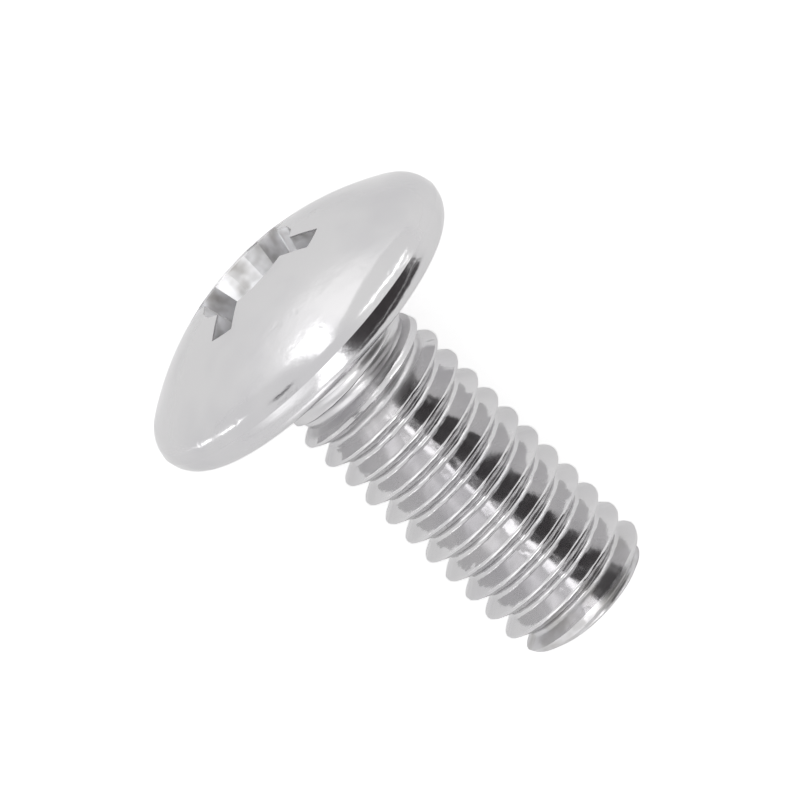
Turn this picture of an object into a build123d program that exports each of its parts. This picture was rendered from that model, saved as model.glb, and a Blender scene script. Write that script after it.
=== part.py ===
"""Truss head machine screw with a cross recess, in plated steel, lying on its head rim and its thread.

The screw is shaped upright, with its bearing face at height 0 and its head above, and then laid down.
"""

import os
from math import atan2, cos, degrees, radians, sin, sqrt, tan

from build123d import *

# Head, in millimetres
head_diameter = 13.3
head_height = 3.78
rim_height = 1.02  # the widest ring, above the bearing face
rim_radius = 1.06  # between the widest ring and the dome
rim_bevel = 0.3  # width of the steep bevel under the widest ring
rim_bevel_height = 0.72
under_bevel = 0.7  # width of the shallow bevel next to the bearing face

# Neck and thread
length_under_head = 13.65
neck_diameter = 5.36
neck_length = 1.5
underhead_bevel = 0.35
thread_diameter = 5.91
thread_pitch = 1.0
thread_angle = 60
runout_length = 1.0
tip_chamfer = 0.87
last_crest_depth = 12.53  # where the crest touches the ground, below the bearing face

# Cross recess
wing_span = 6.54
wing_thickness = 1.05
wing_draft = 2.7
wing_end_slope = 26.5
wing_depth = 2.7
recess_point_angle = 140
core_diameter = 4.2
core_draft = 17
core_flat_angle = 22.5  # between neighbouring flats of the core
recess_turn = -42.3  # one wing's place round the axis, from the side that faces up

# How far the joined and cutting shapes overrun each other
sink = 0.1
overrun = 0.5

# What follows from these sizes
head_radius = head_diameter / 2
neck_radius = neck_diameter / 2
crest_radius = thread_diameter / 2
flank_slope = tan(radians(thread_angle / 2))
thread_depth = thread_pitch / 2 / flank_slope * 17 / 24
crest_flat = thread_pitch / 8
root_radius = crest_radius - thread_depth
tip_radius = crest_radius - tip_chamfer

rim_centre = head_radius - rim_radius
dome_rise = head_height - rim_height
dome_radius = (rim_centre**2 + dome_rise**2 - rim_radius**2) / (dome_rise - rim_radius) / 2
dome_centre = head_height - dome_radius
dome_edge = degrees(atan2(rim_height - dome_centre, rim_centre))


def dome_height(radius):
    """Height of the dome's surface at this radius."""
    return dome_centre + sqrt(dome_radius**2 - radius**2)


# Head: a low dome, a round rim, two bevels under it and a flat bearing face
with BuildPart() as head:
    with BuildSketch(Plane.XZ):
        with BuildLine():
            Polyline(
                (0, 0),
                (head_radius - rim_bevel - under_bevel, 0),
                (head_radius - rim_bevel, rim_height - rim_bevel_height),
                (head_radius, rim_height),
            )
            CenterArc((rim_centre, rim_height), rim_radius, 0, dome_edge)
            CenterArc((0, dome_centre), dome_radius, dome_edge, 90 - dome_edge)
            Line((0, head_height), (0, 0))
        make_face()
    revolve(axis=Axis.Z)

# Recess: four wings and a wider core, both narrowing downwards, over a blunt point
wing_end = wing_span / 2
mouth_height = dome_height(wing_end)
cut_height = head_height + overrun
floor_height = mouth_height - wing_depth
end_slope = tan(radians(wing_end_slope))
floor_radius = wing_end - wing_depth * end_slope
point_height = floor_height - floor_radius / tan(radians(recess_point_angle / 2))
wing_growth = 2 * (cut_height - mouth_height) * tan(radians(wing_draft))
core_growth = (cut_height - dome_height(core_diameter / 2)) * tan(radians(core_draft))

with BuildPart() as recess:
    with BuildSketch(Plane.XY.offset(cut_height)):
        for turn in (recess_turn, recess_turn + 90):
            Rectangle(2 * wing_span, wing_thickness + wing_growth, rotation=turn)
    extrude(amount=-2 * head_height, taper=wing_draft)
    with BuildSketch(Plane.XY.offset(cut_height)):
        RegularPolygon(
            core_diameter / 2 + core_growth,
            round(360 / core_flat_angle),
            major_radius=False,
            rotation=recess_turn + 45 + core_flat_angle / 2,
        )
    extrude(amount=-head_height, taper=core_draft)
    with BuildSketch(Plane.XZ):
        with BuildLine():
            Polyline(
                (0, point_height),
                (floor_radius, floor_height),
                (wing_end + (cut_height - mouth_height) * end_slope, cut_height),
                (0, cut_height),
                close=True,
            )
        make_face()
    revolve(axis=Axis.Z, mode=Mode.INTERSECT)

# Thread: a right-hand ridge wound on the root cylinder, from past the tip to past the run-out
full_depth = neck_length + runout_length
ridge_height = thread_depth + sink
ridge_foot = crest_flat / 2 + ridge_height * flank_slope
# the winding starts on the side that faces up, two and a half turns below the crest that touches the ground
thread_start = -last_crest_depth - 2.5 * thread_pitch

with BuildPart() as thread:
    with Locations((0, 0, thread_start - overrun)):
        Cylinder(root_radius, overrun - thread_start, align=(Align.CENTER, Align.CENTER, Align.MIN))
    with BuildLine() as winding:
        Helix(thread_pitch, -neck_length - thread_start, root_radius - sink, center=(0, 0, thread_start))
    with BuildSketch(Plane(winding.line @ 0, x_dir=(1, 0, 0), z_dir=winding.line % 0)):
        with BuildLine():
            Polyline(
                (0, -ridge_foot),
                (ridge_height, -crest_flat / 2),
                (ridge_height, crest_flat / 2),
                (0, ridge_foot),
                close=True,
            )
        make_face()
    sweep(path=winding.line, is_frenet=True)
    # the crest rises out of the neck, and the tip is chamfered
    with BuildSketch(Plane.XZ):
        with BuildLine():
            Polyline(
                (0, -neck_length),
                (neck_radius - sink, -neck_length),
                (crest_radius + sink, -full_depth),
                (crest_radius + sink, tip_chamfer + sink - length_under_head),
                (tip_radius, -length_under_head),
                (0, -length_under_head),
                close=True,
            )
        make_face()
    revolve(axis=Axis.Z, mode=Mode.INTERSECT)

# The whole screw: a neck, into which the groove fades out, and the recess punched into the head
with BuildPart() as upright:
    add(head.part)
    add(thread.part)
    with BuildSketch(Plane.XZ):
        with BuildLine():
            Polyline(
                (neck_radius, -underhead_bevel),
                (neck_radius, -neck_length - sink),
                (root_radius - sink, -full_depth),
                (0, -full_depth),
                (0, sink),
                (neck_radius + underhead_bevel, sink),
                (neck_radius + underhead_bevel, 0),
                close=True,
            )
        make_face()
    revolve(axis=Axis.Z)
    add(recess.part, mode=Mode.SUBTRACT)

# At rest the axis slopes down to the tip, with the rim and the last crest on the ground
slope = atan2(head_radius - crest_radius, last_crest_depth + rim_height)
lying = Plane((0, 0, 0), x_dir=(sin(slope), 0, cos(slope)), z_dir=(-cos(slope), 0, sin(slope)))
laid = lying.from_local_coords(upright.part)
box = laid.bounding_box()
ground = Plane((-box.center().X, -box.center().Y, -box.min.Z))

with BuildPart() as machine_screw:
    add(ground.from_local_coords(laid))

machine_screw.part.label = "machine_screw"
os.makedirs("parts", exist_ok=True)
export_step(machine_screw.part, "parts/machine_screw.step")
print("slope", degrees(slope), "bearing face at", ground.origin)
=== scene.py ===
"""Looks for a plated steel truss head screw: its body, thread and recess, on a white table."""

from math import atan2, cos, pi, radians, sin, sqrt, tan

import bmesh
import bpy
from bpy.props import (
    FloatProperty,
    FloatVectorProperty,
    IntProperty,
    PointerProperty,
    StringProperty,
)
from mathutils import Matrix, Vector


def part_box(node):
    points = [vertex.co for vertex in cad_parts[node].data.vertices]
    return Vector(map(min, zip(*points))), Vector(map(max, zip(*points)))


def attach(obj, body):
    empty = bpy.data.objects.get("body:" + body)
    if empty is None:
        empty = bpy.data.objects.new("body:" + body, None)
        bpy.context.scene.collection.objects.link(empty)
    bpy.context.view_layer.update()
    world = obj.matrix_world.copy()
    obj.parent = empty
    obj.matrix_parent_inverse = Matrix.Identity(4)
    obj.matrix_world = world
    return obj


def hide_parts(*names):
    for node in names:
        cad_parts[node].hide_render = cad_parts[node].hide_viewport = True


bl_info = {
    "name": "Truss head machine screw",
    "version": (1, 0, 0),
    "blender": (4, 5, 0),
    "location": "View3D > Sidebar > Screw",
    "description": "Builds a plated truss head screw with a cross recess, on a white table",
    "category": "Object",
}

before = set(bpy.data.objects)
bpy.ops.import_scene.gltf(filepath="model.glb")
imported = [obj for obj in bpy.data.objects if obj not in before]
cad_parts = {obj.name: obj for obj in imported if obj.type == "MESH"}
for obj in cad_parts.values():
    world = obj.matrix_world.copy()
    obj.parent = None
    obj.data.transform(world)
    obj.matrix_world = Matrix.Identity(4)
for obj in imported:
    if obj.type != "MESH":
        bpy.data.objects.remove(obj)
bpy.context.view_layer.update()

MM = 0.001
SINK = 0.1  # how far shapes that are joined or trimmed overrun each other, in millimetres
WELD = 0.0001  # corners nearer to each other than this are one, in millimetres
PICTURE_WIDTH = 800  # pixels
ROOM_LEVEL = 0.55  # the room's light on surfaces; in reflections its walls have level 1
LAMP_DISTANCE = 0.3  # metres

# Soft lamps: name, azimuth and elevation in degrees, width and height in metres, brightness
LAMPS = (
    ("front_lamp", (183, 43), (0.085, 0.46), 0.9),
    ("side_lamp", (-6, 25), (0.08, 0.3), 2.0),
    ("strip_lamp", (95, 38), (0.022, 0.26), 2.2),
)

# Matt papers and their colours, and glowing cloths, a painted glow with no lamp behind them, and
# how much their middle outshines the room
PAPERS = {"dark_grey_paper": "#5A5658", "grey_paper": "#807E80"}
CLOTHS = {
    "lit_cloth": 0.42,
    "lit_floor": 0.45,
    "side_glare": 1.2,
    "bright_cloth": 0.9,
    "bright_strip": 4.0,
}

# The point beside the head from which the bright strip runs out over the table and up
STRIP_START = (-0.0065, -0.0068, 0.00004)

# Cards that stand round a point, or round the picture's centre if none is given:
# name, point, two azimuths, two elevations, distance in metres, paint
STANDING_CARDS = (
    ("front_cloth", None, (152, 214), (-40, 80), 1.0, "lit_cloth"),
    ("standing_card", None, (7, 62), (0, 48), 0.25, "dark_grey_paper"),
    ("side_cloth", None, (285, 348), (2, 62), 0.4, "bright_cloth"),
    ("strip_cloth", STRIP_START, (247, 253), (-2, 28), 0.25, "bright_strip"),
    ("grey_card", None, (254, 272), (46, 60), 0.25, "grey_paper"),
)

# Cards on the table that fan out from a point: name, point, two azimuths, two distances, paint
FAN_CARDS = (
    ("lying_card", (0, 0, 0.00002), (7, 62), (0.03, 0.25), "dark_grey_paper"),
    ("strip_floor", STRIP_START, (245, 253), (0.003, 0.1), "bright_strip"),
)

# Square cards on the table, glowing as painted light on the table that shows in the screw's
# reflections: name, their ends along X and along Y, height, paint
SQUARE_CARDS = (
    ("front_floor", (-0.32, -0.012), (-0.07, 0.12), 0.00003, "lit_floor"),
    ("side_floor", (0.008, 0.05), (-0.016, 0.001), 0.00003, "side_glare"),
)


def length(label, about, millimetres):
    """A length property, held in metres, with its default in millimetres."""
    return FloatProperty(
        name=label, description=about, default=millimetres * MM, min=0, unit="LENGTH", precision=5
    )


def count(label, about, number, least):
    """A whole number property."""
    return IntProperty(name=label, description=about, default=number, min=least)


def shade(label, about, colour):
    """A colour property, as sRGB hex."""
    return StringProperty(name=label, description=about, default=colour)


def angle(label, about, degree):
    """An angle property, held in radians, with its default in degrees."""
    return FloatProperty(name=label, description=about, default=radians(degree), unit="ROTATION")


class HeadSizes(bpy.types.PropertyGroup):
    """Sizes of the head and its recess."""

    diameter: length("Head diameter", "Across the widest ring of the head", 13.3)
    height: length("Head height", "From the bearing face to the top of the dome", 3.78)
    rim_height: length("Rim height", "From the bearing face to the widest ring", 1.02)
    rim_upper: length("Upper rim radius", "Rounding between the widest ring and the dome", 1.06)
    rim_lower: length("Lower rim radius", "Rounding from the widest ring to the bearing face", 1.02)
    rim_edge: angle("Rim edge", "Slope of both sides of the low ridge round the widest ring", 11)
    wing_span: length("Wing span", "Across two opposite wings of the recess at the dome", 6.54)
    wing_thickness: length("Wing thickness", "Thickness of a recess wing at the dome", 1.05)
    wing_depth: length("Wing depth", "Depth of a wing below its end at the dome", 2.7)
    wing_draft: angle("Wing draft", "Slope of the sides of a wing", 2.7)
    wing_end_slope: angle("Wing end slope", "Slope of the end wall of a wing", 26.5)
    core_diameter: length("Core diameter", "Across the middle of the recess at the dome", 4.2)
    core_draft: angle("Core draft", "Slope of the walls between the wings", 17)
    core_flats: count("Core flats", "Flat walls round the core", 16, 6)
    point_angle: angle("Point angle", "Angle of the blunt point at the bottom of the recess", 140)
    turn: angle("Recess turn", "One wing's place round the axis, from the upper side", -42.3)


class ShankSizes(bpy.types.PropertyGroup):
    """Sizes of the neck, the thread and the tip."""

    length: length("Length", "From the bearing face to the end of the tip", 13.65)
    neck_diameter: length("Neck diameter", "Plain part between the head and the thread", 5.36)
    groove_start: length("Groove start", "From the bearing face to the groove's first trace", 0.95)
    neck_length: length("Neck length", "From the bearing face to the start of the run-out", 1.5)
    fillet: length("Fillet", "Rounding between the bearing face and the neck", 0.35)
    thread_diameter: length("Thread diameter", "Across the crests of the thread", 5.91)
    pitch: length("Pitch", "From one crest to the next", 1.0)
    flank_angle: angle("Thread angle", "Angle between the two flanks of the thread", 60)
    crest_rounding: length("Crest rounding", "Rounding of the crest's two edges", 0.07)
    root_rounding: length("Root rounding", "Rounding of the root's two edges", 0.14)
    runout: length("Run-out", "Length over which the crest rises out of the neck", 1.0)
    tip_chamfer: length("Tip chamfer", "Width of the chamfer at the tip", 0.87)
    tip_bevel: length("Tip bevel", "Depth of the rounded bevel at the tip's end", 0.3)
    tip_rounding: length("Tip rounding", "Rounding of the tip bevel's edges", 0.2)
    last_crest: length("Last crest", "From the bearing face to the crest on the table", 12.53)
    unevenness: length("Unevenness", "How far the thread stays back from its true form", 0.04)


class Smoothness(bpy.types.PropertyGroup):
    """How finely the curved faces are divided."""

    head_steps: count("Head steps", "Faces round the head", 192, 24)
    thread_steps: count("Thread steps", "Faces in a turn of thread", 144, 24)
    arc_steps: count("Arc steps", "Faces across a small rounding", 5, 2)
    dome_steps: count("Dome steps", "Rings across the dome", 30, 6)
    smooth_angle: angle("Smooth angle", "Edges flatter than this are shaded smooth", 20)


class Finish(bpy.types.PropertyGroup):
    """Colours and wear of the plated steel, and the painted light and shade in its recess."""

    plating: shade("Plating", "Colour of the zinc", "#D0CFD0")
    haze: shade("Haze", "Colour of the duller patches", "#C8C7C9")
    # the zinc in the recess is painted lighter as painted light, with darker blotches as painted
    # shade; at the tip the darker zinc is wear
    recess_painted_light: shade("Fresh zinc", "Colour of the zinc in the recess", "#EEEEF0")
    tip_wear_and_recess_shade: shade("Worn zinc", "Colour of the thin zinc at the tip and in the recess", "#AFADAB")
    roughness: FloatProperty(name="Roughness", description="Of the bright plating", default=0.15)
    dull_roughness: FloatProperty(
        name="Dull roughness", description="Of the recess, the neck and the tip", default=0.34
    )
    grain: length("Grain", "Size of the plating's grain, drawn coarser than it is", 0.2)


class StageSettings(bpy.types.PropertyGroup):
    """The table, the lights and the camera."""

    table_size: length("Table size", "Side of the square table top", 600)
    scale: FloatProperty(name="Scale", description="Picture's pixels a millimetre", default=28.89)
    roll: angle("Roll", "Turn of the picture round the line of sight", 43.63)
    focal: FloatProperty(name="Focal length", description="In millimetres", default=500)
    centre: FloatVectorProperty(
        name="Centre",
        description="Point in the middle of the picture",
        default=(-1.403 * MM, 0.4387 * MM, 6.2 * MM),
        subtype="XYZ",
    )


def linear(text):
    """A hex sRGB colour as the linear colour that a shader socket takes."""
    parts = [int(text[i : i + 2], 16) / 255 for i in (1, 3, 5)]
    return [c / 12.92 if c <= 0.04045 else ((c + 0.055) / 1.055) ** 2.4 for c in parts] + [1]


def rounded(corners, radii, steps):
    """An outline's points, with arcs of these radii at its inner corners and none for radius 0."""
    points = [corners[0]]
    for before, corner, after, radius in zip(corners, corners[1:-1], corners[2:], radii):
        corner = Vector(corner)
        back, ahead = (Vector(p) - corner for p in (before, after))
        back.normalize()
        ahead.normalize()
        half = back.angle(ahead) / 2
        if radius == 0:
            points.append(tuple(corner))
            continue
        middle = corner + (back + ahead).normalized() * radius / sin(half)
        start = corner + back * radius / tan(half) - middle
        sweep = start.angle_signed(corner + ahead * radius / tan(half) - middle)
        for i in range(steps + 1):
            swing = Matrix.Rotation(-sweep * i / steps, 2)
            points.append(tuple(middle + swing @ start))
    return points + [corners[-1]]


def arc(centre, radius, start, end, steps):
    """Points on an arc between two angles in radians."""
    turns = [start + (end - start) * i / steps for i in range(steps + 1)]
    return [(centre[0] + radius * cos(t), centre[1] + radius * sin(t)) for t in turns]


def pick_only(piece):
    """Makes this piece the only one selected, and the active one."""
    bpy.ops.object.select_all(action="DESELECT")
    piece.select_set(True)
    bpy.context.view_layer.objects.active = piece


def draw_outline(name, points):
    """A chain of edges through these points of the XZ plane, extruded from a single corner."""
    bpy.ops.object.select_all(action="DESELECT")
    bpy.ops.mesh.primitive_plane_add(size=1)
    piece = bpy.context.object
    piece.name = name
    bpy.ops.object.mode_set(mode="EDIT")
    bpy.ops.mesh.merge(type="CENTER")
    bpy.ops.transform.translate(value=(points[0][0], 0, points[0][1]))
    for a, b in zip(points, points[1:]):
        step = (b[0] - a[0], 0, b[1] - a[1])
        bpy.ops.mesh.extrude_region_move(TRANSFORM_OT_translate={"value": step})
    bpy.ops.object.mode_set(mode="OBJECT")
    return piece


def close_up(piece):
    """Merges a shape's doubled corners and turns its faces outwards."""
    pick_only(piece)
    bpy.ops.object.mode_set(mode="EDIT")
    bpy.ops.mesh.select_all(action="SELECT")
    bpy.ops.mesh.remove_doubles(threshold=WELD)
    bpy.ops.mesh.normals_make_consistent(inside=False)
    bpy.ops.object.mode_set(mode="OBJECT")


def turn_on_lathe(name, points, steps):
    """A solid spun round Z from half its section, which starts and ends on the axis."""
    piece = draw_outline(name, points)
    bpy.ops.object.mode_set(mode="EDIT")
    bpy.ops.mesh.select_all(action="SELECT")
    bpy.ops.mesh.spin(steps=steps, angle=2 * pi, center=(0, 0, 0), axis=(0, 0, 1))
    bpy.ops.object.mode_set(mode="OBJECT")
    close_up(piece)
    return piece


def combine(piece, other, operation):
    """Joins, cuts or trims a piece with another one, which is then removed."""
    pick_only(piece)
    cut = piece.modifiers.new("Combine", "BOOLEAN")
    cut.operation = operation
    cut.solver = "EXACT"
    cut.object = other
    bpy.ops.object.modifier_apply(modifier=cut.name)
    bpy.data.objects.remove(other)


class Screw:
    """The sizes of the screw in millimetres, and what follows from them."""

    def __init__(self, head, shank):
        self.head_radius = head.diameter / MM / 2
        self.head_height = head.height / MM
        self.rim_height = head.rim_height / MM
        self.rim_upper = head.rim_upper / MM
        self.rim_lower = head.rim_lower / MM
        self.rim_edge = head.rim_edge
        self.neck_radius = shank.neck_diameter / MM / 2
        self.groove_start = shank.groove_start / MM
        self.neck_length = shank.neck_length / MM
        self.crest_radius = shank.thread_diameter / MM / 2
        self.pitch = shank.pitch / MM
        self.flank = tan(shank.flank_angle / 2)
        self.thread_depth = self.pitch / 2 / self.flank * 17 / 24
        self.crest_flat = self.pitch / 8
        self.root_radius = self.crest_radius - self.thread_depth
        self.full_depth = self.neck_length + shank.runout / MM
        self.length = shank.length / MM
        self.last_crest = shank.last_crest / MM
        self.upper_centre = self.head_radius - self.rim_upper / cos(self.rim_edge)
        self.lower_centre = self.head_radius - self.rim_lower / cos(self.rim_edge)
        rise = self.head_height - self.rim_height
        reach = self.upper_centre**2 + rise**2 - self.rim_upper**2
        self.dome_radius = reach / (rise - self.rim_upper) / 2
        self.dome_centre = self.head_height - self.dome_radius
        self.dome_edge = atan2(self.rim_height - self.dome_centre, self.upper_centre)

    def dome_height(self, radius):
        """Height of the dome's surface at this radius."""
        return self.dome_centre + sqrt(self.dome_radius**2 - radius**2)

    def laid(self):
        """The turn that lays the upright screw on its rim and its last crest."""
        slope = atan2(self.head_radius - self.crest_radius, self.last_crest + self.rim_height)
        up, head = (sin(slope), 0, cos(slope)), (-cos(slope), 0, sin(slope))
        return Matrix((up, (0, 1, 0), head)).transposed().to_4x4()


def make_head(screw, shank, smooth):
    """The head, the fillet under it and the neck, down to where the groove has faded out."""
    fillet = shank.fillet / MM
    neck = screw.neck_radius
    points = [(0, -screw.full_depth), (screw.root_radius - SINK, -screw.full_depth)]
    points += [(neck, -screw.groove_start)]
    points += arc((neck + fillet, -fillet), fillet, pi, pi / 2, smooth.arc_steps + 2)
    edge, low, steps = screw.rim_edge, screw.rim_height, 3 * smooth.arc_steps
    points += arc((screw.lower_centre, low), screw.rim_lower, -pi / 2, -edge, steps)
    points += [(screw.head_radius, low)]
    points += arc((screw.upper_centre, low), screw.rim_upper, edge, screw.dome_edge, steps)
    middle = (0, screw.dome_centre)
    dome = arc(middle, screw.dome_radius, screw.dome_edge, pi / 2, smooth.dome_steps)
    points += dome[1:-1] + [(0, screw.head_height)]
    return turn_on_lathe("screw", points, smooth.head_steps)


def make_recess_cutter(screw, head, smooth):
    """The form that the punch leaves: four wings and a wider core, over a blunt point."""
    wing_end = head.wing_span / MM / 2
    mouth = screw.dome_height(wing_end)
    over = screw.head_height + 0.5  # the cutter ends this high, above the dome
    deep = screw.head_height
    slope = tan(head.wing_end_slope)
    floor = mouth - head.wing_depth / MM
    floor_radius = wing_end - head.wing_depth / MM * slope
    point = floor - floor_radius / tan(head.point_angle / 2)

    # the wings, thinner towards the bottom
    wings = []
    thickness = head.wing_thickness / MM + 2 * (over - mouth) * tan(head.wing_draft)
    bottom = thickness - 2 * deep * tan(head.wing_draft)
    for quarter in (0, pi / 2):
        bpy.ops.object.select_all(action="DESELECT")
        bpy.ops.mesh.primitive_cube_add(size=1, location=(0, 0, over - deep / 2))
        wing = bpy.context.object
        bpy.ops.transform.resize(value=(4 * wing_end, thickness, deep))
        bpy.ops.object.transform_apply(location=True, rotation=True, scale=True)
        bpy.ops.object.mode_set(mode="EDIT")
        bpy.ops.mesh.select_all(action="DESELECT")
        mesh = bmesh.from_edit_mesh(wing.data)
        for face in mesh.faces:
            face.select = face.normal.z < -0.5
        bpy.ops.transform.resize(value=(1, bottom / thickness, 1))
        bpy.ops.object.mode_set(mode="OBJECT")
        wing.rotation_euler.z = head.turn + quarter
        bpy.ops.object.transform_apply(location=True, rotation=True, scale=True)
        wings.append(wing)

    # the core between them
    core = head.core_diameter / MM / 2
    across = core + (over - screw.dome_height(core)) * tan(head.core_draft)
    corner = across / cos(pi / head.core_flats)
    foot = (across - deep * tan(head.core_draft)) / across
    bpy.ops.object.select_all(action="DESELECT")
    bpy.ops.mesh.primitive_cone_add(
        vertices=head.core_flats,
        radius1=corner * foot,
        radius2=corner,
        depth=deep,
        location=(0, 0, over - deep / 2),
        rotation=(0, 0, head.turn + pi / 4 + pi / head.core_flats),
    )
    cutter = bpy.context.object
    cutter.name = "recess"
    bpy.ops.object.transform_apply(location=True, rotation=True, scale=True)
    for wing in wings:
        combine(cutter, wing, "UNION")
    rim = wing_end + (over - mouth) * slope
    bounds = [(0, point), (floor_radius, floor), (rim, over), (0, over)]
    combine(cutter, turn_on_lathe("bounds", bounds, smooth.head_steps // 2), "INTERSECT")
    return cutter


def make_thread(screw, shank, smooth):
    """A right-hand thread with rounded crests and roots, wound past both its ends and closed."""
    half_crest = screw.crest_flat / 2
    half_foot = half_crest + screw.thread_depth * screw.flank
    lowest = -screw.last_crest - 3 * screw.pitch
    middle = lowest + screw.pitch / 2
    outline = [
        (screw.root_radius, lowest),
        (screw.root_radius, middle - half_foot),
        (screw.crest_radius, middle - half_crest),
        (screw.crest_radius, middle + half_crest),
        (screw.root_radius, middle + half_foot),
        (screw.root_radius, lowest + screw.pitch),
    ]
    crest, root = shank.crest_rounding / MM, shank.root_rounding / MM
    points = rounded(outline, (root, crest, crest, root), smooth.arc_steps)
    piece = draw_outline("thread", points)
    winding = piece.modifiers.new("Winding", "SCREW")
    winding.screw_offset = screw.pitch
    winding.iterations = round(-lowest / screw.pitch)
    winding.steps = winding.render_steps = smooth.thread_steps
    bpy.ops.object.modifier_apply(modifier=winding.name)
    bpy.ops.object.mode_set(mode="EDIT")
    bpy.ops.mesh.select_all(action="SELECT")
    bpy.ops.mesh.remove_doubles(threshold=WELD)
    for low in (True, False):
        bpy.ops.mesh.select_all(action="DESELECT")
        mesh = bmesh.from_edit_mesh(piece.data)
        for edge in mesh.edges:
            height = sum(v.co.z for v in edge.verts) / 2
            edge.select = edge.is_boundary and (height < lowest / 2) == low
        mesh.select_flush(True)
        bpy.ops.mesh.extrude_edges_move(TRANSFORM_OT_translate={"value": (0, 0, 0)})
        bpy.ops.mesh.merge(type="CENTER")
    bpy.ops.object.mode_set(mode="OBJECT")
    close_up(piece)
    clouds = bpy.data.textures.new("rolling", "CLOUDS")
    clouds.noise_scale = 0.35
    wear = piece.modifiers.new("Unevenness", "DISPLACE")
    wear.texture = clouds
    wear.strength = shank.unevenness / MM
    wear.mid_level = 1
    bpy.ops.object.modifier_apply(modifier=wear.name)
    return piece


def make_envelope(screw, shank, smooth):
    """What the thread stays inside: its run-out cone, its crests and its chamfered tip."""
    rise = 0.01  # keeps this wall clear of the neck's own
    chamfer = shank.tip_chamfer / MM
    tip_radius = screw.crest_radius - chamfer
    bevel, rounding = shank.tip_bevel / MM, shank.tip_rounding / MM
    corners = [
        (0, -screw.length),
        (tip_radius, -screw.length),
        (screw.crest_radius - bevel, bevel - screw.length),
        (screw.crest_radius + SINK, chamfer + bevel - screw.length),
        (screw.crest_radius + SINK, -screw.full_depth),
        (screw.neck_radius + rise, -screw.neck_length),
        (screw.neck_radius + rise, -screw.groove_start),
        (0, -screw.groove_start),
    ]
    points = rounded(corners, (rounding, 2 * rounding, 0, 0, 0, 0), smooth.arc_steps)
    return turn_on_lathe("envelope", points, smooth.thread_steps)


def add_node(tree, kind, settings=(), **links):
    """Adds a shader node and sets its properties and inputs, or links those given as sockets."""
    node = tree.nodes.new(kind)
    for key, value in dict(settings).items():
        if hasattr(node, key):
            setattr(node, key, value)
        else:
            node.inputs[key].default_value = value
    for key, value in links.items():
        spot = int(key[1:]) if key[0] == "_" else key.replace("_", " ")
        if isinstance(value, bpy.types.NodeSocket):
            tree.links.new(value, node.inputs[spot])
        else:
            node.inputs[spot].default_value = value
    return node


def maths(tree, operation, first, second):
    """The result of one sum on two values."""
    kind = {"operation": operation}
    return add_node(tree, "ShaderNodeMath", kind, _0=first, _1=second).outputs[0]


def between(tree, value, low, high):
    """0 where a value is under low, 1 where it is over high, and rising evenly between them."""
    steps = {"From Min": low, "From Max": high}
    return add_node(tree, "ShaderNodeMapRange", steps, Value=value).outputs["Result"]


def mix(tree, factor, first, second):
    """The first colour where the factor is 0, and the second where it is 1."""
    kind = {"data_type": "RGBA"}
    return add_node(tree, "ShaderNodeMix", kind, _0=factor, _6=first, _7=second).outputs[2]


def noise(tree, place, size, detail):
    """Soft noise with lumps of this size, in millimetres."""
    settings = {"Scale": 1 / (size * MM), "Detail": detail}
    return add_node(tree, "ShaderNodeTexNoise", settings, Vector=place).outputs["Fac"]


def relief(tree, height, depth, strength, **below):
    """Normals for a relief of this depth in millimetres, over those of the relief below it."""
    settings = {"Strength": strength, "Distance": depth * MM}
    return add_node(tree, "ShaderNodeBump", settings, Height=height, **below).outputs["Normal"]


def inside(tree, place, centre, radius, soft):
    """1 nearer than this radius to a point, and 0 farther out, over a soft edge, in millimetres."""
    away = add_node(tree, "ShaderNodeVectorMath", {"operation": "DISTANCE"}, _0=place, _1=centre)
    edge = {"From Min": (radius - soft) * MM, "From Max": radius * MM, "To Min": 1.0, "To Max": 0.0}
    return add_node(tree, "ShaderNodeMapRange", edge, Value=away.outputs["Value"]).outputs["Result"]


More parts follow.
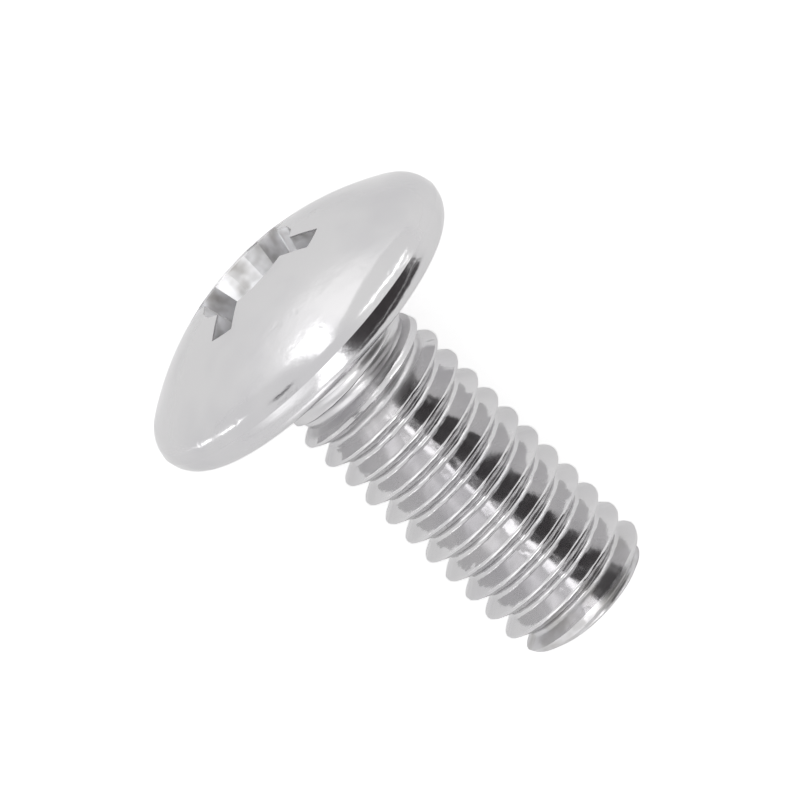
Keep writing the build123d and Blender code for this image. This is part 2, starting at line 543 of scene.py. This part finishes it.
def zinc_plated_steel(finish, screw, lay):
    """Cold-formed steel, tumbled and bright zinc plated: a satin grey mirror with a fine grain."""
    material = bpy.data.materials.new("bright_zinc_plated_steel")
    material.use_nodes = True
    tree = material.node_tree
    surface = tree.nodes["Principled BSDF"]
    place = add_node(tree, "ShaderNodeTexCoord").outputs["Object"]

    def near(height, radius, soft):
        """1 within this radius of a point at this height on the screw's own axis."""
        return inside(tree, place, lay @ Vector((0, 0, height)), radius, soft)

    # the parts of the surface that differ: the recess under the dome, the tip and the neck
    under_dome = near(screw.dome_centre, screw.dome_radius - 0.02, 0.06)
    recess = maths(tree, "MULTIPLY", under_dome, near(2.5, 3.4, 0.05))
    tip = near(-screw.length - 2, 4.1, 0.4)
    neck = near(-1.2, 3.0, 0.25)

    # dull patches a millimetre or two across, where the plating is thicker
    patches = noise(tree, place, 3, 2)
    haze = between(tree, patches, 0.42, 0.68)
    colour = mix(tree, haze, linear(finish.plating), linear(finish.haze))

    # the tip, which has lost zinc, is mottled with darker zinc; the recess is painted lighter than
    # the rest as painted light, with blotches of darker zinc as painted shade
    blotches = between(tree, noise(tree, place, 0.8, 2), 0.3, 0.6)
    for spot, pale in ((recess, finish.recess_painted_light), (tip, finish.haze)):
        mottled = mix(tree, blotches, linear(finish.tip_wear_and_recess_shade), linear(pale))
        colour = mix(tree, spot, colour, mottled)
    tree.links.new(colour, surface.inputs["Base Color"])

    # the gloss changes a little from patch to patch, and is low in the recess, the neck and the tip
    low, high = finish.roughness - 0.02, finish.roughness + 0.04
    gloss = add_node(tree, "ShaderNodeMapRange", {"To Min": low, "To Max": high}, Value=patches)
    dull = maths(tree, "MAXIMUM", maths(tree, "MAXIMUM", recess, tip), neck)
    roughness = add_node(
        tree,
        "ShaderNodeMapRange",
        {"To Max": finish.dull_roughness},
        Value=dull,
        To_Min=gloss.outputs["Result"],
    )
    tree.links.new(roughness.outputs["Result"], surface.inputs["Roughness"])

    # grain of the plating
    normal = relief(tree, noise(tree, place, finish.grain / MM, 2), 0.01, 0.06)

    # marks of the dies, drawn out round the screw
    upright = {"vector_type": "TEXTURE", "Rotation": lay.to_euler()}
    straight = add_node(tree, "ShaderNodeMapping", upright, Vector=place).outputs[0]
    drawn_out = add_node(
        tree, "ShaderNodeVectorMath", {"operation": "MULTIPLY"}, _0=straight, _1=(1, 1, 2.5)
    ).outputs[0]
    normal = relief(tree, noise(tree, drawn_out, 0.9, 3), 0.02, 0.8, Normal=normal)

    # the fine rings that the dies scored on the neck, 0.4 mm apart
    bands = {"bands_direction": "Z", "Scale": pi / 10 / (0.4 * MM)}
    rings = add_node(tree, "ShaderNodeTexWave", bands, Vector=straight).outputs["Fac"]
    normal = relief(tree, maths(tree, "MULTIPLY", rings, neck), 0.05, 0.6, Normal=normal)

    # a few nicks from lying loose in a box with others, cut inwards
    nicks = between(tree, noise(tree, place, 0.75, 1), 0.68, 0.86)
    cuts = maths(tree, "SUBTRACT", 1.0, nicks)
    normal = relief(tree, cuts, 0.03, 0.5, Normal=normal)
    tree.links.new(normal, surface.inputs["Normal"])
    surface.inputs["Metallic"].default_value = 1
    surface.inputs["Specular Tint"].default_value = linear("#F0F0F0")
    return material


class OBJECT_OT_make_screw(bpy.types.Operator):
    """Makes the screw, lying at rest, in place of the plain CAD solid"""

    bl_idname = "object.make_screw"
    bl_label = "Make screw"

    def execute(self, context):
        scene = context.scene
        smooth = scene.screw_smoothness
        screw = Screw(scene.screw_head, scene.screw_shank)
        piece = make_head(screw, scene.screw_shank, smooth)
        combine(piece, make_recess_cutter(screw, scene.screw_head, smooth), "DIFFERENCE")
        thread = make_thread(screw, scene.screw_shank, smooth)
        combine(thread, make_envelope(screw, scene.screw_shank, smooth), "INTERSECT")
        combine(piece, thread, "UNION")
        low, high = (Vector(corner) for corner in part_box("machine_screw"))
        lay = Matrix.Scale(MM, 4) @ screw.laid()
        piece.data.transform(lay)
        corners = [[v.co[i] for v in piece.data.vertices] for i in range(3)]
        middle = [(min(c) + max(c)) / 2 for c in corners]
        way = Vector(((low.x + high.x) / 2 - middle[0], -middle[1], low.z - min(corners[2])))
        shift = Matrix.Translation(way)
        piece.data.transform(shift)
        pick_only(piece)
        bpy.ops.object.shade_smooth_by_angle(angle=smooth.smooth_angle)
        piece.data.materials.clear()
        piece.data.materials.append(zinc_plated_steel(scene.screw_finish, screw, shift @ lay))
        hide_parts("machine_screw")
        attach(piece, "root")
        return {"FINISHED"}


def white_table():
    """Matt laminate, white to the camera and in reflections, which keeps the screw's shadow."""
    material = bpy.data.materials.new("matt_white_laminate")
    material.use_nodes = True
    tree = material.node_tree
    surface = tree.nodes["Principled BSDF"]
    surface.inputs["Base Color"].default_value = linear("#E6E6E6")
    surface.inputs["Roughness"].default_value = 0.9
    surface.inputs["Specular IOR Level"].default_value = 0
    surface.inputs["Emission Color"].default_value = (1, 1, 1, 1)
    camera = add_node(tree, "ShaderNodeLightPath").outputs["Is Camera Ray"]
    # what these rays lack, beside the lamps' light on the laminate, to see it white
    seen = maths(tree, "MULTIPLY", seen_rays(tree), 0.45)
    glow = maths(tree, "ADD", seen, maths(tree, "MULTIPLY", camera, 0.17))
    tree.links.new(glow, surface.inputs["Emission Strength"])
    return material


def seen_rays(tree):
    """1 for camera, glossy and transmission rays, and 0 for the rays that light a surface."""
    path = add_node(tree, "ShaderNodeLightPath").outputs
    seen = maths(tree, "MAXIMUM", path["Is Camera Ray"], path["Is Glossy Ray"])
    return maths(tree, "MAXIMUM", seen, path["Is Transmission Ray"])


def white_room(level):
    """White walls to the camera and in reflections, and soft light of this level on everything."""
    world = bpy.context.scene.world or bpy.data.worlds.new("room")
    bpy.context.scene.world = world
    world.use_nodes = True
    tree = world.node_tree
    background = tree.nodes["Background"]
    background.inputs["Color"].default_value = (1, 1, 1, 1)
    steps = {"To Min": level, "To Max": 1.0}
    strength = add_node(tree, "ShaderNodeMapRange", steps, Value=seen_rays(tree))
    tree.links.new(strength.outputs["Result"], background.inputs["Strength"])


def from_screw(azimuth, elevation):
    """The direction with this azimuth, from the tip's side towards Y, and elevation, in degrees."""
    a, e = radians(azimuth), radians(elevation)
    return Vector((cos(e) * cos(a), cos(e) * sin(a), sin(e)))


def face_screw(piece, towards):
    """Turns a lamp or card in this direction from the screw to face it, with its width level."""
    across = Vector((0, 0, 1)).cross(towards).normalized()
    piece.rotation_euler = Matrix((across, towards.cross(across), towards)).transposed().to_euler()


def softbox(name, towards, size, brightness, target):
    """A lamp of this width and height. Brightness 1 is as bright as the white room's walls."""
    bpy.ops.object.select_all(action="DESELECT")
    bpy.ops.object.light_add(type="AREA", location=target + towards * LAMP_DISTANCE)
    lamp = bpy.context.object
    lamp.name = name
    lamp.data.shape = "RECTANGLE"
    lamp.data.size, lamp.data.size_y = size
    lamp.data.energy = brightness * pi * size[0] * size[1]
    face_screw(lamp, towards)


def card_paint(name, colour):
    """Matt paper of this colour."""
    material = bpy.data.materials.new(name)
    material.use_nodes = True
    surface = material.node_tree.nodes["Principled BSDF"]
    surface.inputs["Base Color"].default_value = linear(colour)
    surface.inputs["Roughness"].default_value = 0.9
    surface.inputs["Specular IOR Level"].default_value = 0
    return material


def glow_paint(name, extra):
    """Painted glow: a white card that glows, brighter than the room in its middle and level
    outside, with no lamp behind it.
    """
    material = bpy.data.materials.new(name)
    material.use_nodes = True
    tree = material.node_tree
    surface = tree.nodes["Principled BSDF"]
    surface.inputs["Base Color"].default_value = (0, 0, 0, 1)
    surface.inputs["Specular IOR Level"].default_value = 0
    surface.inputs["Emission Color"].default_value = (1, 1, 1, 1)
    place = add_node(tree, "ShaderNodeTexCoord").outputs["UV"]
    step = {"operation": "MULTIPLY_ADD"}
    centred = add_node(tree, "ShaderNodeVectorMath", step, _0=place, _1=(2, 2, 0), _2=(-1, -1, 0))
    ball = {"gradient_type": "SPHERICAL"}
    falling = add_node(tree, "ShaderNodeTexGradient", ball, Vector=centred.outputs[0])
    strength = add_node(
        tree,
        "ShaderNodeMapRange",
        {"interpolation_type": "SMOOTHSTEP", "To Min": 1.0, "To Max": 1 + extra},
        Value=falling.outputs["Fac"],
    )
    tree.links.new(strength.outputs["Result"], surface.inputs["Emission Strength"])
    return material


def card(name, corners, paint):
    """A card with these four corners, which shows only in the screw's reflections."""
    bpy.ops.object.select_all(action="DESELECT")
    bpy.ops.mesh.primitive_plane_add(size=2)
    sheet = bpy.context.object
    sheet.name = name
    for vertex, corner in zip(sheet.data.vertices, corners):
        vertex.co = corner
    sheet.data.materials.append(paint)
    sheet.visible_camera = False
    sheet.visible_diffuse = False
    sheet.visible_shadow = False


class SCENE_OT_make_stage(bpy.types.Operator):
    """Makes the white table, the soft lights and the camera above the screw"""

    bl_idname = "scene.make_stage"
    bl_label = "Make stage"

    def execute(self, context):
        settings = context.scene.screw_stage
        target = Vector(settings.centre)
        bpy.ops.object.select_all(action="DESELECT")
        bpy.ops.mesh.primitive_plane_add(size=settings.table_size)
        table = context.object
        table.name = "table"
        table.data.materials.append(white_table())
        white_room(ROOM_LEVEL)
        for name, towards, size, brightness in LAMPS:
            softbox(name, from_screw(*towards), size, brightness, target)
        self.place_cards(target)
        self.place_camera(context, settings, target)
        context.scene.view_settings.view_transform = "Standard"
        # light bounces often between the flanks of the thread and in the recess
        context.scene.cycles.max_bounces = context.scene.cycles.glossy_bounces = 16
        return {"FINISHED"}

    def place_cards(self, target):
        """The papers and cloths that the screw mirrors, such as the dark band along its thread."""
        paints = {name: card_paint(name, colour) for name, colour in PAPERS.items()}
        paints.update({name: glow_paint(name, extra) for name, extra in CLOTHS.items()})
        for name, point, around, heights, away, paint in STANDING_CARDS:
            middle = Vector(point or target)
            corners = [middle + from_screw(a, e) * away for e in heights for a in around]
            card(name, corners, paints[paint])
        for name, point, around, reach, paint in FAN_CARDS:
            corners = [Vector(point) + from_screw(a, 0) * r for r in reach for a in around]
            card(name, corners, paints[paint])
        for name, along, across, height, paint in SQUARE_CARDS:
            corners = [(x, y, height) for x in along for y in across]
            card(name, corners, paints[paint])

    def place_camera(self, context, settings, target):
        """A long lens straight above the screw, rolled so that the tip points lower right."""
        sensor = 36  # millimetres
        wide = PICTURE_WIDTH / settings.scale * MM
        away = settings.focal / sensor * wide
        spot = target + Vector((0, 0, away))
        bpy.ops.object.camera_add(location=spot, rotation=(0, 0, settings.roll))
        camera = context.object
        camera.data.lens = settings.focal
        camera.data.sensor_width = sensor
        camera.data.clip_start = 0.01
        context.scene.camera = camera


class VIEW3D_PT_screw(bpy.types.Panel):
    """The steps that make the screw and its stage"""

    bl_label = "Truss head machine screw"
    bl_space_type = "VIEW_3D"
    bl_region_type = "UI"
    bl_category = "Screw"

    def draw(self, context):
        for group in (context.scene.screw_head, context.scene.screw_shank):
            box = self.layout.box()
            for name in group.__annotations__:
                box.prop(group, name)
        self.layout.operator(OBJECT_OT_make_screw.bl_idname)
        self.layout.operator(SCENE_OT_make_stage.bl_idname)


SETTINGS = {
    "screw_head": HeadSizes,
    "screw_shank": ShankSizes,
    "screw_smoothness": Smoothness,
    "screw_finish": Finish,
    "screw_stage": StageSettings,
}
CLASSES = (*SETTINGS.values(), OBJECT_OT_make_screw, SCENE_OT_make_stage, VIEW3D_PT_screw)


def register():
    """Makes the settings, the operators and the panel known to Blender."""
    for cls in CLASSES:
        bpy.utils.register_class(cls)
    for name, cls in SETTINGS.items():
        setattr(bpy.types.Scene, name, PointerProperty(type=cls))


def unregister():
    """Takes them out again."""
    for name in SETTINGS:
        delattr(bpy.types.Scene, name)
    for cls in reversed(CLASSES):
        bpy.utils.unregister_class(cls)


def main():
    """Makes the screw and its stage."""
    register()
    bpy.ops.object.make_screw()
    bpy.ops.scene.make_stage()


if __name__ == "__main__":
    main()
